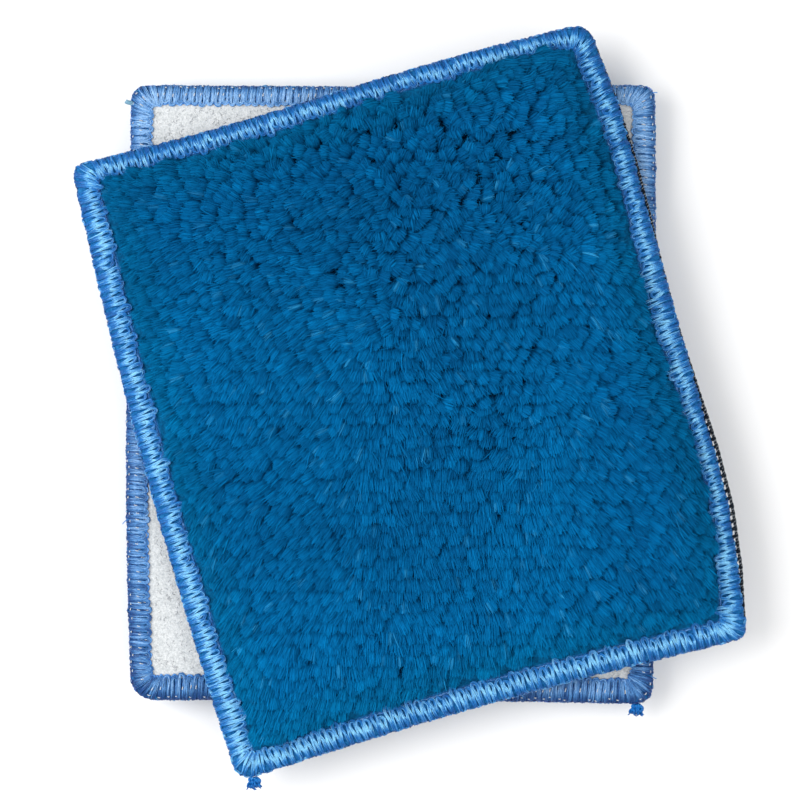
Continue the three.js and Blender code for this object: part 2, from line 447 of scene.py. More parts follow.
class Shader:
    """A new node material with a principled surface, and short calls to wire it."""

    def __init__(self, name, roughness, **plain):
        self.material = bpy.data.materials.new(name)
        self.material.use_nodes = True
        self.tree = self.material.node_tree
        self.surface = self.tree.nodes["Principled BSDF"]
        self.surface.inputs["Roughness"].default_value = roughness
        for key, value in plain.items():
            self.surface.inputs[key.replace("_", " ")].default_value = value

    def node(self, kind, **values):
        made = self.tree.nodes.new(f"ShaderNode{kind}")
        for key, value in values.items():
            setattr(made, key, value)
        return made

    def link(self, source, target):
        self.tree.links.new(source, target)

    def attribute(self, name):
        return self.node("Attribute", attribute_name=name).outputs["Fac"]

    def noise(self, scale, detail):
        """Noise in the row frame; scale is in ripples per metre."""
        noise = self.node("TexNoise")
        noise.inputs["Scale"].default_value = scale
        noise.inputs["Detail"].default_value = detail
        self.link(self.node("TexCoord").outputs["Object"], noise.inputs["Vector"])
        return noise.outputs["Fac"]

    def ramp(self, value, *stops):
        """Colours along a value: stops are (place, (r, g, b))."""
        ramp = self.node("ValToRGB")
        elements = ramp.color_ramp.elements
        while len(elements) < len(stops):
            elements.new(0.5)
        for element, (place, colour) in zip(elements, stops):
            element.position = place
            element.color = (*colour, 1)
        self.link(value, ramp.inputs["Fac"])
        return ramp.outputs["Color"]

    def mottle(self, scale, detail, *stops):
        """Colours along noise."""
        return self.ramp(self.noise(scale, detail), *stops)

    def mixed(self, mode, share, first, second):
        """Two colours mixed in a mode; share and each colour may be a link or a plain value."""
        mix = self.node("Mix", data_type="RGBA", blend_type=mode)
        for value, socket in ((share, mix.inputs[0]), (first, mix.inputs[6]), (second, mix.inputs[7])):
            if isinstance(value, bpy.types.NodeSocket):
                self.link(value, socket)
            else:
                socket.default_value = value
        return mix.outputs[2]

    def colour(self, source):
        self.link(source, self.surface.inputs["Base Color"])

    def bump(self, height, distance, strength=0.6):
        bump = self.node("Bump")
        bump.inputs["Distance"].default_value = distance
        bump.inputs["Strength"].default_value = strength
        self.link(height, bump.inputs["Height"])
        self.link(bump.outputs["Normal"], self.surface.inputs["Normal"])


def pile_material():
    """Blue plush fibre, greener by the seam. The reach ramp paints shade: dark blue at the roots and on
    the tufts' undersides, clear blue at the tips and tops. The shade attribute scales it, and gleam mixes
    in painted highlight streaks.
    """
    shader = Shader("plush_pile", 0.7, Specular_IOR_Level=0.03)
    along = shader.ramp(
        shader.attribute("reach"),
        (0.0, (0.0, 0.110, 0.305)), (0.42, (0.0, 0.118, 0.320)),
        (0.72, (0.0, 0.136, 0.360)), (1.0, (0.0, 0.158, 0.412)))
    greener = shader.mixed("MIX", shader.attribute("teal"), along, (0.0, 0.150, 0.320, 1))
    gleaming = shader.mixed("MIX", shader.attribute("gleam"), greener, (0.02, 0.26, 0.54, 1))
    shade = shader.ramp(shader.attribute("shade"), (0.0, (0.55, 0.55, 0.60)), (1.0, (1.45, 1.45, 1.40)))
    shader.colour(shader.mixed("MULTIPLY", 1.0, gleaming, shade))
    return shader.material


def thread_material(name, deep, clear, bright, gloss):
    """Glossy continuous-filament thread: its plies differ a little, and the shade attribute paints light
    on it, painted shade in the hollows and painted highlights on the crowns.
    """
    shader = Shader(name, 0.38, Specular_IOR_Level=gloss)
    base = shader.ramp(shader.attribute("shade"), (0.0, deep), (0.5, clear), (1.0, bright))
    fine = shader.mottle(2600.0, 2.0, (0.35, (0.78, 0.80, 0.84)), (0.65, (1.15, 1.12, 1.07)))
    shader.colour(shader.mixed("MULTIPLY", 1.0, base, fine))
    return shader.material


def fleece_material():
    """White brushed loop fabric: pale, mottled with grey that is painted shade in the hollows between the
    loops.
    """
    shader = Shader("loop_backing", 0.9, Specular_IOR_Level=0.1)
    broad = shader.mottle(1700.0, 5.0, (0.32, (0.50, 0.525, 0.535)), (0.62, (0.67, 0.69, 0.70)))
    fine = shader.mottle(3000.0, 3.0, (0.3, (0.78, 0.79, 0.80)), (0.65, (1.08, 1.08, 1.07)))
    shader.colour(shader.mixed("MULTIPLY", 0.85, broad, fine))
    shader.bump(shader.noise(2600.0, 4.0), 0.0002, 0.4)
    return shader.material


def fuzz_material():
    """The loose white hooks and loops of fibre on the brushed fabric."""
    shader = Shader("loop_fibre", 0.75, Specular_IOR_Level=0.2)
    base = shader.ramp(shader.attribute("shade"), (0.0, (0.45, 0.47, 0.49)), (1.0, (0.78, 0.79, 0.80)))
    fine = shader.mottle(2500.0, 2.0, (0.3, (0.85, 0.85, 0.87)), (0.7, (1.0, 1.0, 1.0)))
    shader.colour(shader.mixed("MULTIPLY", 1.0, base, fine))
    return shader.material


def knit_material(name, dark, light):
    """Knitted ground, or pile flattened on it in the seam, which past the edge also stands for painted
    shade under the stitches on the back: blue and fuzzy.
    """
    shader = Shader(name, 0.85, Specular_IOR_Level=0.1)
    shader.colour(shader.mottle(1500.0, 4.0, (0.3, dark), (0.7, light)))
    shader.bump(shader.noise(2200.0, 3.0), 0.0004, 0.8)
    return shader.material


def foam_material():
    """Open-cell foam, off-white with small dark patches of painted shade in its cells."""
    shader = Shader("foam_core", 0.95)
    shader.colour(shader.mottle(1800.0, 2.0, (0.4, (0.42, 0.44, 0.47)), (0.55, (0.78, 0.78, 0.78))))
    shader.bump(shader.noise(1800.0, 2.0), 0.0004, 0.8)
    return shader.material


def plain_floor_material():
    """A pale matt floor with a very slight unevenness."""
    shader = Shader("floor", 0.8)
    shader.colour(shader.mottle(3.0, 2.0, (0.3, (0.90, 0.90, 0.90)), (0.7, (0.92, 0.92, 0.92))))
    return shader.material


# ---------------------------------------------------------------- layers of cloth and foam

def patch(pad, spacing):
    """A grid that fills the needle line's outline: points, and where each edge point stands."""
    sides = [pad.side(number) for number in range(4)]
    tall, wide = (int(round(span * pad.seam_length / spacing)) for _, span in sides[:2])
    steps = (tall, wide, tall, wide)
    runs = [start + span * np.arange(count + 1) / count for (start, span), count in zip(sides, steps)]
    right, top, left, bottom = (pad.seam(run, 0.0) for run in runs)
    top, left = top[::-1], left[::-1]
    u = np.linspace(0, 1, wide + 1)[None, :, None]
    v = np.linspace(0, 1, tall + 1)[:, None, None]
    grid = (
        (1 - v) * bottom[None] + v * top[None] + (1 - u) * left[:, None] + u * right[:, None]
        - (1 - u) * (1 - v) * bottom[0] - u * (1 - v) * bottom[-1]
        - (1 - u) * v * top[0] - u * v * top[-1]
    )
    index = np.arange(grid.shape[0] * grid.shape[1]).reshape(grid.shape[:2])
    loop = np.concatenate([index[:-1, -1], index[-1, :0:-1], index[:0:-1, 0], index[0, :-1]])
    stations = np.concatenate([run[:-1] for run in runs])
    return grid, index, loop, stations


def resized(grid, shape):
    """A grid of values with more or fewer rows and columns, blended between the old ones."""
    for axis, size in enumerate(shape):
        old, new = np.linspace(0, 1, grid.shape[axis]), np.linspace(0, 1, size)
        grid = np.apply_along_axis(lambda run: np.interp(new, old, run), axis, grid)
    return grid


def simulated_puff(pad, seed):
    """How far a cloth simulation lifts the loop fabric between the places where it is stuck down.

    The sheet is held along the needle line and at a few spots that the seed picks. Returns its
    places and a grid of lifts in mm."""
    grid, index, loop, _ = patch(pad, CLOTH_SPACING)
    lifts = np.zeros(index.shape)
    points = np.column_stack([grid.reshape(-1, 2), np.zeros(index.size)])
    sheet = make_mesh("loose_cloth", pad, points, grid_quads(index))
    inside = index[6:-6, 6:-6].ravel()
    stuck = np.random.default_rng(seed).choice(inside, CLOTH_STUCK_SPOTS, replace=False)
    pins = sheet.vertex_groups.new(name="pins")
    pins.add(np.concatenate([loop, stuck]).tolist(), 1.0, "REPLACE")
    cloth = sheet.modifiers.new("cloth", "CLOTH")
    cloth.settings.vertex_group_mass = "pins"
    cloth.settings.mass = CLOTH_MASS
    cloth.settings.quality = 4
    cloth.collision_settings.use_collision = False
    cloth.point_cache.frame_end = CLOTH_FRAMES
    for step in range(1, CLOTH_FRAMES + 1):
        bpy.context.scene.frame_set(step)
    settled = sheet.evaluated_get(bpy.context.evaluated_depsgraph_get()).data
    places = np.empty(index.size * 3, np.float32)
    settled.vertices.foreach_get("co", places)
    heights = places.reshape(-1, 3)[:, 2] / MM
    lifts = np.abs(heights - heights[loop[0]]).reshape(index.shape)
    bpy.context.scene.frame_set(1)
    bpy.data.objects.remove(sheet)
    return grid, CLOTH_PUFF * lifts / max(lifts.max(), 1e-6)


def layer(name, pad, low, high, spacing, roughness=None, edge=0.95, puff=None):
    """A closed sheet between two heights that thins to a rounded edge inside the seam."""
    grid, index, loop, stations = patch(pad, spacing)
    flat = grid.reshape(-1, 2)
    count = len(flat)
    blocks = []
    for side, height in enumerate((high, low)):
        face = np.column_stack([flat, np.full(count, height)])
        if roughness:
            face[:, 2] += np.sign(height) * roughness(flat, side)
        if puff is not None:
            face[:, 2] += np.sign(height) * resized(puff, index.shape).ravel()
        blocks.append(face)
    base = 2 * count
    rings = [[loop], [loop + count]]
    for side, height in enumerate((high, low)):
        for share in edge * np.array([0.1, 0.2, 0.35, 0.5, 0.65, 0.8, 0.9, 0.97, 1.0]):
            part = pad.crown(share)
            points = np.column_stack([pad.seam(stations, share), np.full(len(stations), height * part)])
            if roughness:
                points[:, 2] += np.sign(height) * roughness(points[:, :2], side) * part
            rings[side].append(base + np.arange(len(stations)))
            blocks.append(points)
            base += len(stations)
    faces = grid_quads(index)
    edge_faces = flipped(grid_quads(joined_up(rings[0] + rings[1][::-1], 1)))
    quads = np.concatenate([faces, flipped(faces) + count, edge_faces])
    return make_mesh(name, pad, np.concatenate(blocks), quads)


def pressed_pile(pad):
    """The pile that the sewing presses flat, from the needle line round the cut edge; on the back, under
    the stitches, it is painted shade, a blue bed where the white backing would lie in shadow.
    """
    stations = np.linspace(0, 1, 1200, endpoint=False)
    # Past the edge, from turn 1.1 to 1.86, the blue bed is painted shade under the back stitches.
    turns = np.concatenate([
        np.linspace(-0.08, 0.9, 12), np.linspace(0.95, 1.05, 5), np.linspace(1.1, 1.86, 10)])
    station, turn = np.meshgrid(stations, turns)
    lift = 0.05 + 0.06 * waves(pad.seam(station, turn), 1.5, 35)
    points = pad.seam_surface(station, turn, lift)
    index = np.arange(station.size).reshape(station.shape)
    return make_mesh("pressed_pile", pad, points.reshape(-1, 3), flipped(grid_quads(joined_up(index, 1))))


def fleece_relief(flat, side):
    """The uneven, brushed surface of the loop fabric."""
    fine = waves(flat, 1.7, 31) * 0.07 + waves(flat, 3.1, 32) * 0.06
    return fine + np.random.default_rng(33 + side).normal(0, 0.03, len(flat))


def build_layers(pad, looks, puff):
    """The knitted ground, the foam and the loop fabric of a pad."""
    top = pad.knit_height
    knit = layer("knit_cloth", pad, top - KNIT_THICKNESS, top, 4.0)
    dress(knit, pad, looks["knit"], "ground_knit")
    dress(pressed_pile(pad), pad, looks["pressed_and_shade_bed"], "ground_knit")
    foam_base, foam_top = LOOP_CLOTH_THICKNESS - 0.1 - top, top - KNIT_THICKNESS - 0.1
    foam = layer("foam_sheet", pad, foam_base, foam_top, 4.0, edge=0.86)
    dress(foam, pad, looks["foam"], "foam_core")
    fleece = layer(
        "loop_cloth", pad, -top, LOOP_CLOTH_THICKNESS - top, 0.9, fleece_relief, 0.6, puff[1])
    dress(fleece, pad, looks["fleece"], "loop_backing")


# ---------------------------------------------------------------- sewing

# One stitch of each thread: place along the stitch, turn round the edge, lift off the cloth and
# shade. Turn is 0 at the needle line on the plush side, 1 at the edge, 2 at the needle line behind.
# The shade column is painted light: high for painted highlights where a thread crowns or catches
# the light at the edge, low for painted shade where it turns away at the edge or lies under others.
UPPER_STITCH = [
    (0.00, 1.00, 0.16, 0.90), (0.34, 0.93, 0.18, 0.20), (0.32, 0.65, 0.32, 0.54),
    (0.24, 0.44, 0.40, 0.94), (0.12, 0.18, 0.42, 0.58), (0.30, 0.02, 0.40, 0.40),
    (0.70, 0.02, 0.40, 0.40), (0.88, 0.18, 0.42, 0.54), (0.76, 0.44, 0.40, 0.90),
    (0.68, 0.65, 0.34, 0.50), (0.66, 0.93, 0.18, 0.18),
]
LOWER_STITCH = [
    (0.00, 1.01, 0.15, 0.12), (0.17, 1.12, 0.26, 0.10), (0.20, 1.42, 0.36, 0.62),
    (0.15, 1.74, 0.36, 0.62), (0.30, 1.93, 0.32, 0.50), (0.70, 1.93, 0.32, 0.50),
    (0.85, 1.74, 0.36, 0.60), (0.80, 1.42, 0.36, 0.60), (0.83, 1.12, 0.26, 0.10),
]
UNDER_STITCH = [(0.5, 1.05, 0.1, 0.1), (0.7, 1.45, 0.18, 0.35), (0.85, 1.8, 0.18, 0.3),
                (1.15, 1.8, 0.18, 0.3), (1.3, 1.45, 0.18, 0.35)]
NEEDLE_FACE_STITCH = [(0.0, 0.04, 0.1, 0.5), (0.25, 0.03, 0.05, 0.6), (0.5, 0.02, 0.1, 0.5),
                      (0.75, 0.03, 0.05, 0.6)]
NEEDLE_BACK_STITCH = [(0.0, 1.90, 0.42, 0.3), (0.25, 1.98, 0.34, 0.75), (0.5, 2.01, 0.30, 0.85),
                      (0.75, 1.98, 0.34, 0.7)]
EDGE_STITCH = [(0.0, 1.00, 0.24, 0.95), (0.25, 1.02, 0.20, 0.45), (0.5, 1.03, 0.18, 0.2),
               (0.75, 1.01, 0.20, 0.45)]


def thread_line(pad, stitch, seed, wander=0.05, slant=0.0):
    """Middle line, outward direction and shade of a thread that repeats one stitch round the seam."""
    rng = np.random.default_rng(seed)
    count = pad.stitches
    along, turn, lift, shade = np.array(stitch).T
    shift = rng.normal(0, wander, (count, 1))
    stretch = 1 + rng.normal(0, wander, (count, 1))
    places = np.arange(count)[:, None] + along + shift * np.sin(math.pi * along)
    places = places + slant * (1 - np.abs(turn - 1))
    turns = 1 + (turn - 1) * stretch + rng.normal(0, wander * 0.3, (count, len(stitch)))
    lifts = lift + rng.normal(0, 0.03, (count, len(stitch)))
    shades = shade + rng.normal(0, 0.07, (count, 1)) + rng.normal(0, 0.05, (count, len(stitch)))
    stations, turns, lifts = places.ravel() / count, turns.ravel(), lifts.ravel()
    beside = (pad.seam(stations, 0.5) - pad.centre) / PAD_REACH
    # Painted shade by side: each pad's threads get a constant plus slopes across x and y, lighter or
    # darker as each side of the seam faces towards or away from the light.
    shades = shades.ravel() + pad.painted_side_shade[0] + beside @ pad.painted_side_shade[1:]
    rows = np.column_stack([
        pad.seam_surface(stations, turns, lifts), pad.seam_surface(stations, turns, lifts + 0.1),
        shades])
    fine = curve_through(rows, 2)
    return fine[:, :3], unit(fine[:, 3:6] - fine[:, :3]), fine[:, 6]


def across_and_over(line, normal):
    """The directions across and over a closed line that lies on a surface."""
    tangent = unit(np.roll(line, -1, axis=0) - np.roll(line, 1, axis=0))
    across = unit(np.cross(tangent, normal))
    return across, np.cross(across, tangent)


def between_knots(knots, every, size):
    """Values at `size` points, with a knot at every so many of them and straight runs between."""
    return np.interp(np.arange(size), np.arange(len(knots)) * every, knots)


def plied_thread(name, pad, lines, seed, spread=LEG_SPREAD, radius=PLY_RADIUS, plies=5, sides=3,
                 flatness=0.45, turn_length=7.0):
    """A thread of a few plies that wind slowly round its middle lines."""
    rng = np.random.default_rng(seed)
    paths, acrosses, overs, shades = [], [], [], []
    for line, normal, shade in lines:
        size = len(line)
        across, over = across_and_over(line, normal)
        step = np.linalg.norm(np.roll(line, -1, axis=0) - line, axis=1)
        turns = np.cumsum(step) / step.sum() * round(step.sum() / turn_length)
        for ply in range(plies):
            angle = 2 * math.pi * (turns + ply / plies)[:, None]
            frizz = rng.normal(0, radius * 0.16, line.shape)
            winding = across * np.cos(angle) + flatness * over * np.sin(angle)
            paths.append(line + spread * winding + frizz)
            acrosses.append(across)
            overs.append(over)
            wobble = between_knots(rng.normal(0, 0.14, size // 7 + 2), 7, size)
            shades.append(np.clip(shade + wobble + rng.normal(0, 0.04), 0, 1))
    paths, acrosses, overs, shades = (joined_up(rows, 1) for rows in (paths, acrosses, overs, shades))
    radii = np.full(paths.shape[:2], radius)
    points, quads, tris, maps = tubes(paths, radii, sides, (acrosses, overs), run=6)
    shade = np.repeat(shades.ravel(), sides)
    return make_mesh(name, pad, points, quads, tris, {"shade": shade}, maps)


def filaments(name, pad, line, seed, count, spread, width):
    """The thread's outermost filaments, a little apart, which make it fluffy and full of glints."""
    rng = np.random.default_rng(seed)
    middle, normal, shade = line
    across, _ = across_and_over(middle, normal)
    size = len(middle)
    paths, facing, shades = [], [], []
    for _ in range(count):
        sideways = between_knots(rng.uniform(-1, 1, size // 8 + 2), 8, size)[:, None]
        frizz = rng.normal(0, 0.035, middle.shape)
        above = PLY_RADIUS + 0.12 + rng.uniform(0, 0.12)
        arched = above * (1 - 0.5 * sideways ** 2)
        paths.append(middle + across * sideways * spread + normal * arched + frizz)
        facing.append(unit(across + normal * rng.uniform(-0.6, 0.6)))
        glints = between_knots(rng.normal(0, 0.26, size // 5 + 2), 5, size)
        shades.append(np.clip(shade + 0.06 + glints, 0, 1))
    paths, facing, shades = (joined_up(rows, 1) for rows in (paths, facing, shades))
    points, quads, maps = ribbons(paths, facing, np.full(paths.shape[:2], width))
    shade = np.repeat(shades.ravel(), 2)
    return make_mesh(name, pad, points, quads, None, {"shade": shade}, maps)


def build_sewing(pad, looks):
    """The needle thread and both looper threads of a pad's oversewn edge."""
    seed = 100 if pad.sign > 0 else 200
    upper = thread_line(pad, UPPER_STITCH, seed, wander=0.10, slant=0.35)
    lower = thread_line(pad, LOWER_STITCH, seed + 2, slant=-0.2)
    # The under thread fills the gaps between the lower legs; its low shades are painted shade beneath
    # them.
    under = thread_line(pad, UNDER_STITCH, seed + 9, slant=-0.2)
    edge = thread_line(pad, EDGE_STITCH, seed + 4, wander=0.03)
    needle = [thread_line(pad, NEEDLE_FACE_STITCH, seed + 6, wander=0.008),
              thread_line(pad, NEEDLE_BACK_STITCH, seed + 7, wander=0.012)]
    twisted_pair = {"plies": 2, "sides": 4, "flatness": 1.0}
    for look, part, *pieces in (
        ("upper", "upper_looper_thread",
         plied_thread("upper_looper_stitches", pad, [upper], seed + 1, plies=4),
         filaments("upper_looper_filaments", pad, upper, seed + 11, 16, 0.48, 0.10)),
        ("lower", "lower_looper_thread",
         plied_thread("lower_looper_underlay", pad, [under], seed + 10, spread=0.45),
         plied_thread("lower_looper_stitches", pad, [lower], seed + 3, spread=0.40),
         filaments("lower_looper_filaments", pad, lower, seed + 12, 12, 0.55, 0.11)),
        ("purl", "lower_looper_thread",
         plied_thread("edge_purl", pad, [edge], seed + 5, 0.09, 0.11, turn_length=1.6, **twisted_pair)),
        ("needle", "needle_thread",
         plied_thread("needle_stitches", pad, needle, seed + 8, 0.13, 0.17, turn_length=2.0,
                      **twisted_pair)),
    ):
        for piece in pieces:
            dress(piece, pad, looks[look], part)


def open_thread(name, pad, lines, radius, seed, plies=3, turn_length=2.4, sides=6, shade=0.5,
                fade=0.0):
    """A loose thread of twisted plies along open middle lines with the same number of points."""
    rng = np.random.default_rng(seed)
    lines = np.array(lines)
    across, over = carried_frames(lines)
    step = np.linalg.norm(np.diff(lines, axis=1), axis=2)
    length = np.concatenate([np.zeros((len(lines), 1)), np.cumsum(step, axis=1)], axis=1)
    paths = np.concatenate([
        lines + radius * 0.5 * (
            across * np.cos(2 * math.pi * (length / turn_length + ply / plies))[..., None]
            + over * np.sin(2 * math.pi * (length / turn_length + ply / plies))[..., None])
        for ply in range(plies)
    ])
    radii = np.full(paths.shape[:2], radius * 0.55)
    points, quads, tris, maps = tubes(paths, radii, sides)
    fading = fade * np.linspace(0, 1, paths.shape[1])
    shades = np.clip(shade + rng.normal(0, 0.12, paths.shape[:2]) - fading, 0, 1)
    shades = np.repeat(shades.ravel(), sides)
    return make_mesh(name, pad, points, quads, tris, {"shade": shades}, maps)


def build_cord(pad, material):
    """The cord of purls that stands off one side of the sewing, held by a link per stitch. Its near-black
    colour is painted shade: it is looper thread on the side of the pad away from the light.
    """
    start, span = pad.cord_span
    stations = start + span * np.linspace(0.015, 0.97, 1500)
    room = pad.cord_room(stations)
    stitch = stations * pad.stitches
    proud = room - CORD_RADIUS * 0.6 + 0.07 * np.sin(2 * math.pi * stitch) + 0.05 * waves(
        pad.seam(stations, 1.0), 9.0, 61)
    flat = pad.seam(stations, 1.0, proud)
    height = 0.25 + 0.12 * np.cos(2 * math.pi * stitch)
    line = np.column_stack([flat, height])
    ply_shades = np.array([[0.3], [0.3], [1.0]])
    cord = open_thread("edge_cord", pad, [line], CORD_RADIUS, 62, 3, 0.9, 6, ply_shades)
    dress(cord, pad, material, "upper_looper_thread")
    number = np.arange(math.ceil(stitch[0]), math.floor(stitch[-1]))
    stations = number / pad.stitches
    share = np.linspace(0, 1, 5)[None, :]
    proud = (pad.cord_room(stations) - 0.1)[:, None] * share - 0.3 * (1 - share)
    links = pad.seam(np.repeat(stations[:, None], 5, 1) + share * 0.3 / pad.stitches, 1.0, proud)
    links = np.concatenate([links, np.full(links.shape[:2] + (1,), 0.3)], -1)
    held = open_thread("cord_links", pad, links, CORD_LINK_RADIUS, 63, 3, 1.5, 4, shade=0.4)
    dress(held, pad, material, "upper_looper_thread")


def build_caught_loops(pad, material, seed):
    """White loops of the backing that show between the stitches, in two rows."""
    rng = np.random.default_rng(seed)
    t = np.linspace(-1, 1, 5)
    lines = []
    for turn, along, across, lift in ((1.14, 0.30, 0.0, 0.60), (1.50, 0.10, 0.08, 0.76)):
        number = np.arange(pad.stitches)[rng.uniform(0, 1, pad.stitches) < 0.7]
        middle = (number + rng.uniform(0.3, 0.7, len(number)))[:, None] / pad.stitches
        stations = middle + along / pad.seam_length * t
        turns = turn + rng.normal(0, 0.03, (len(number), 1)) + across * t
        lifts = np.broadcast_to(lift - 0.25 * t ** 2, stations.shape)
        lines.append(pad.seam_surface(stations, turns, lifts))
    loops = open_thread("caught_loops", pad, np.concatenate(lines), 0.16, seed, 2, 0.8, 4)
    dress(loops, pad, material, "loop_backing")


def build_tail(pad, material):
    """The short end of thread chain where the sewing of a pad stopped, with a few frayed ends."""
    body = f"{pad.name}_tail"
    hinge = next(joint for joint in frame["joints"] if joint["child"] == body)
    root = np.array(hinge["pos_m"][:2]) / MM
    low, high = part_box(f"{pad.name}_thread_tail")
    middle = np.array([low.x + high.x, low.y + high.y]) / 2 / MM
    heading = unit(middle - root)
    side = np.array([-heading[1], heading[0]])
    reach = 2 * np.linalg.norm(middle - root)
    rng = np.random.default_rng(71)
    t = np.linspace(0, 1, 40)
    lines = []
    for place in np.linspace(-1, 1, 9):
        length = reach * rng.uniform(0.88, 1.06)
        size = rng.uniform(0.1, 0.25)
        weave = size * np.sin(2 * math.pi * (t * rng.uniform(0.8, 1.6) + rng.uniform()))
        wide = place * np.interp(t, [0, 0.25, 0.6, 1], [0.7, 1.3, 1.3, 1.7]) + weave
        along = -1.6 + (length + 1.6) * t
        flat = root + heading * along[:, None] + side * wide[:, None]
        height = 0.55 * np.cos(2 * math.pi * (t * 2.2 + rng.uniform())) * np.sqrt(1.1 - place ** 2)
        lines.append(np.column_stack([flat, height]))
    tail = open_thread("thread_tail_chain", pad, lines, 0.40, 74, turn_length=7.0, shade=0.44, fade=0.35)
    dress(tail, pad, material, "thread_tail", body)
    ends = []
    for _ in range(16):
        start = root + heading * reach * rng.uniform(0.35, 0.95) + side * rng.uniform(-1.3, 1.5)
        aim = heading * rng.uniform(0.3, 1.0) + side * rng.uniform(-0.9, 1.1)
        s = np.linspace(0, 1, 7)[:, None]
        flat = start + aim * s + side * rng.normal(0, 0.3) * s ** 2
        ends.append(np.column_stack([flat, rng.uniform(-0.7, 0.7) + 0.2 * s[:, 0]]))
    frayed = open_thread("thread_tail_frayed_ends", pad, ends, 0.13, 73, 2, shade=0.12)
    dress(frayed, pad, material, "thread_tail", body)


def build_stray(name, pad, material, side, share, length, lean, radius, seed):
    """A loose fibre that sticks out of the sewing: on a side, a share along it, leaning in degrees."""
    rng = np.random.default_rng(seed)
    start, span = pad.side(side)
    station = np.array([start + span * share])
    root = pad.seam(station, 0.9)[0]
    outward = unit(pad.seam(station, 1.0)[0] - pad.seam(station, 0.0)[0])
    aim = turned(outward, math.radians(lean))
    curl = np.array([-aim[1], aim[0]]) * rng.uniform(-0.35, 0.35)
    t = np.linspace(0, 1, 14)
    flat = root + (aim * t[:, None] + curl * t[:, None] ** 2) * length
    height = 0.9 + 0.5 * np.sin(t * 2.2) + 0.1 * np.sin(t * 9)
    line = np.column_stack([flat, height * pad.sign])
    stray = open_thread(f"stray_{name}", pad, [line], radius, seed, 3, 1.6)
    stray.data.materials.append(material)
    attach(stray, pad.body)


# ---------------------------------------------------------------- plush pile

def tuft_tips(pad, spacing, seed):
    """Where the tufts end, evenly over the pad, how far inside the sewing, and which way out is."""
    rng = np.random.default_rng(seed)
    low, high = pad.inner.min(axis=0), pad.inner.max(axis=0)
    rows = np.arange(low[1], high[1], spacing * 0.87)
    columns = np.arange(low[0], high[0], spacing)
    x, y = np.meshgrid(columns, rows)
    x = x + (np.arange(len(rows)) % 2)[:, None] * spacing / 2
    tips = np.column_stack([x.ravel(), y.ravel()])
    tips += rng.normal(0, spacing * 0.15, tips.shape)
    depth, outward = pad.depth_inside(tips, 4)
    inside = depth > PILE_MARGIN
    return tips[inside], depth[inside], outward[inside]


def tuft_lean(pad, tips, depth, outward):
    """How far each tuft lies over, in mm: away from a parting, in swirls, its root inside the sewing."""
    away = (tips - pad.centre - PARTING_PLACE) / PARTING_REACH
    swirl = np.column_stack([waves(tips, 42.0, 41), waves(tips, 42.0, 42)]) * 0.50
    small = np.column_stack([waves(tips, 11.0, 43), waves(tips, 11.0, 44)]) * 0.18
    own = np.random.default_rng(45).normal(0, 0.19, tips.shape)
    lean = away + swirl + small + own
    size = np.linalg.norm(lean, axis=1, keepdims=True)
    lean = lean / np.maximum(size, 1e-6) * np.clip(size, 0.75, 1.0) * PILE_LEAN_REACH
    inward = -(lean * outward).sum(axis=1) - np.maximum(depth - 0.8, 0)
    return lean + outward * np.maximum(inward, 0)[:, None]


class Tufts:
    """The pad's tufts: leaning tongues of fibre with rounded ends, overlapping like scales."""

    def __init__(self, name, pad, spacing, seed, height=1.0, lying=1.0):
        rng = np.random.default_rng(seed)
        self.name, self.pad = name, pad
        tips, depth, outward = tuft_tips(pad, spacing, seed + 1)
        self.lean = tuft_lean(pad, tips, depth, outward) * lying
        self.roots = tips - self.lean
        self.count = len(tips)
        self.scale = spacing / TUFT_SPACING * rng.uniform(0.8, 1.2, self.count)
        low = np.clip(depth / 6.0, 0, 1) ** 0.6
        tall = pad.pile_height - TUFT_HALF_DEPTH * 0.8
        self.tall = tall * height * (0.30 + 0.70 * low) * rng.uniform(0.86, 1.0, self.count)
        self.teal = np.clip(1 - depth / 12.0, 0, 1) * 0.6
        place = (tips - pad.centre) / PAD_REACH
        # A broad random tone plus painted shade, darker towards the top and the right of the pad, as the
        # light falls on the lying pile.
        broad = 0.12 * waves(tips, 60.0, 51) - 0.13 * place[:, 1] - 0.05 * place[:, 0]
        self.shade = 0.27 + broad + rng.normal(0, 0.08, self.count)
        self.gleam = (rng.uniform(0, 1, self.count) < 0.12) * rng.uniform(0.2, 1.0, self.count)
        self.gleam_angle = rng.uniform(0.6, 2.5, self.count)

    def spine(self, chosen, t):
        """Middle line of tufts at t from 0 to about 1, and the directions across and over them."""
        lean = self.lean[chosen][:, None]
        tall = self.tall[chosen][:, None]
        root = self.roots[chosen][:, None]
        bend, end = 2 * t * (1 - t), t ** 2
        flat = root + lean * (0.15 * bend + end)[..., None]
        height = self.pad.knit_height - 0.1 + tall * (TUFT_ARCH * bend + end)
        slope = 0.15 * (2 - 4 * t) + 2 * t
        rise = tall * (TUFT_ARCH * (2 - 4 * t) + 2 * t)
        tangent = unit(np.concatenate([lean * slope[..., None], rise[..., None]], -1))
        across = unit(np.stack([-lean[..., 1], lean[..., 0], np.zeros_like(lean[..., 0])], -1))
        across = np.broadcast_to(across, tangent.shape)
        return np.concatenate([flat, height[..., None]], -1), across, np.cross(tangent, across)

    def half_depth(self, chosen, t):
        """Half the thickness of a tuft, thinning a little towards its end."""
        past = np.clip((t - TUFT_ROUNDING_START) / (1.15 - TUFT_ROUNDING_START), 0, 1)
        return TUFT_HALF_DEPTH * self.scale[chosen][:, None] * np.sqrt(1 - past ** 2)


